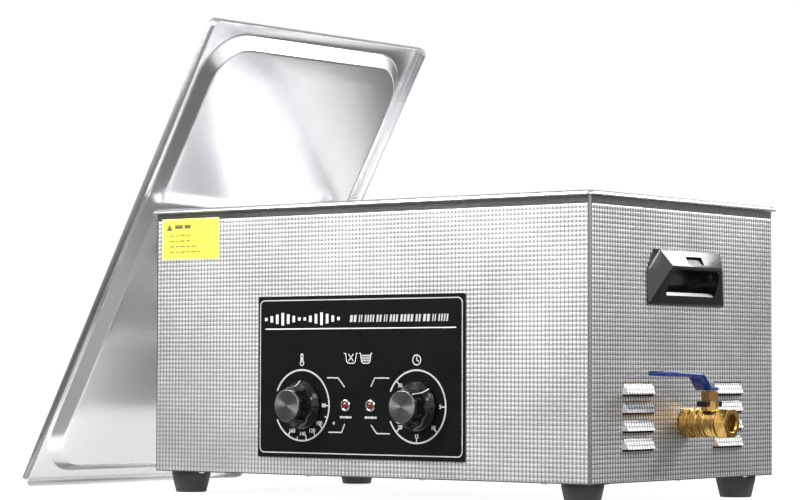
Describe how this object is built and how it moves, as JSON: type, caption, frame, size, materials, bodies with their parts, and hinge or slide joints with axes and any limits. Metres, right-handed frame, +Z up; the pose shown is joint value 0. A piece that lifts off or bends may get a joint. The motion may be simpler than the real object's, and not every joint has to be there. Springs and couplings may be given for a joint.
{
  "type": "ultrasonic cleaner",
  "caption": "bench ultrasonic cleaner with dial controls, heated drawn tank, side grips, drain ball valve and a separate sheet lid leaning on its rim",
  "frame": {"origin": "centre of the bounding box on the floor plane", "axes": "+X along the control face towards the drain valve, +Y from the control face to the back, +Z up"},
  "size_m": [0.7608, 0.349, 0.4669],
  "materials": {
    "embossed_steel": "square-embossed stainless sheet",
    "tank_steel": "drawn stainless, satin",
    "lid_steel": "bright stainless sheet",
    "plate_steel": "plain stainless sheet",
    "black_plastic": "moulded black plastic",
    "knob_black": "polished black phenolic",
    "panel_black": "printed black overlay",
    "black_rubber": "black rubber",
    "spun_aluminium": "circular-turned aluminium",
    "label_yellow": "yellow printed film",
    "lamp_red": "translucent red plastic",
    "bezel_chrome": "chromed bezel",
    "brass": "polished brass",
    "lever_blue": "blue dipped coating on steel",
    "nut_steel": "bright plated steel",
    "white_seat": "white sealing ring",
    "cast_aluminium": "machined aluminium",
    "heater_orange": "silicone heating pad",
    "board_green": "circuit board with its parts",
    "core_steel": "laminated core with windings"
  },
  "bodies": {
    "unit": {"housing_wrap": "embossed_steel", "rear_panel": "plate_steel", "bottom_plate": "plate_steel", "tank": "tank_steel", "control_panel": "panel_black", "side_handle_right": "black_plastic", "side_handle_left": "black_plastic", "front_label": "label_yellow", "rating_plate": "spun_aluminium", "thermostat_body": "plate_steel", "timer_body": "plate_steel", "heating_lamp_bezel": "bezel_chrome", "heating_lamp_lens": "lamp_red", "timer_lamp_bezel": "bezel_chrome", "timer_lamp_lens": "lamp_red", "valve_body": "brass", "valve_outlet": "brass", "valve_seat_inner": "white_seat", "valve_seat_outer": "white_seat", "valve_packing_nut": "brass", "drain_pipe": "brass", "drain_nut": "brass", "heater_front": "heater_orange", "heater_rear": "heater_orange", "generator_board": "board_green", "heat_sink": "cast_aluminium", "transformer": "core_steel", "fan_frame": "black_plastic", "fan_guard": "nut_steel", "power_inlet": "black_plastic", "foot_front_left": "black_rubber", "foot_front_right": "black_rubber", "foot_rear_left": "black_rubber", "foot_rear_right": "black_rubber", "transducer_1": "cast_aluminium", "transducer_2": "cast_aluminium", "transducer_3": "cast_aluminium", "transducer_4": "cast_aluminium", "transducer_5": "cast_aluminium", "transducer_6": "cast_aluminium", "transducer_7": "cast_aluminium", "transducer_8": "cast_aluminium"},
    "lid": {"lid_pan": "lid_steel", "lid_handle": "black_plastic", "lid_screw_upper": "nut_steel", "lid_screw_lower": "nut_steel"},
    "valve_lever_set": {"valve_lever": "lever_blue", "valve_stem": "nut_steel", "valve_ball": "nut_steel", "valve_lever_nut": "nut_steel"},
    "thermostat_knob_set": {"thermostat_knob": "knob_black", "thermostat_knob_cap": "spun_aluminium", "thermostat_shaft": "nut_steel"},
    "timer_knob_set": {"timer_knob": "knob_black", "timer_knob_cap": "spun_aluminium", "timer_shaft": "nut_steel"},
    "fan_rotor_set": {"fan_rotor": "black_plastic"},
    "fuse_drawer_set": {"fuse_drawer": "black_plastic"}
  },
  "joints": [
    {"name": "lid_lift", "type": "slide", "parent": "unit", "child": "lid", "axis": [0, 0, 1], "range_m": [0, 0.3]},
    {"name": "valve_turn", "type": "hinge", "parent": "unit", "child": "valve_lever_set", "pos_m": [0.35646, 0.00604, 0.0735], "axis": [0, 0, 1], "range_deg": [0, 90]},
    {"name": "thermostat_turn", "type": "hinge", "parent": "unit", "child": "thermostat_knob_set", "pos_m": [0.00116, -0.15236, 0.0876], "axis": [0, 1, 0], "range_deg": [0, 210]},
    {"name": "timer_turn", "type": "hinge", "parent": "unit", "child": "timer_knob_set", "pos_m": [0.13916, -0.15236, 0.0876], "axis": [0, 1, 0], "range_deg": [0, 270]},
    {"name": "fan_spin", "type": "hinge", "parent": "unit", "child": "fan_rotor_set", "pos_m": [-0.04984, 0.14844, 0.076], "axis": [0, 1, 0], "continuous": true},
    {"name": "fuse_drawer_slide", "type": "slide", "parent": "unit", "child": "fuse_drawer_set", "axis": [0, 1, 0], "range_m": [0, 0.018]}
  ]
}
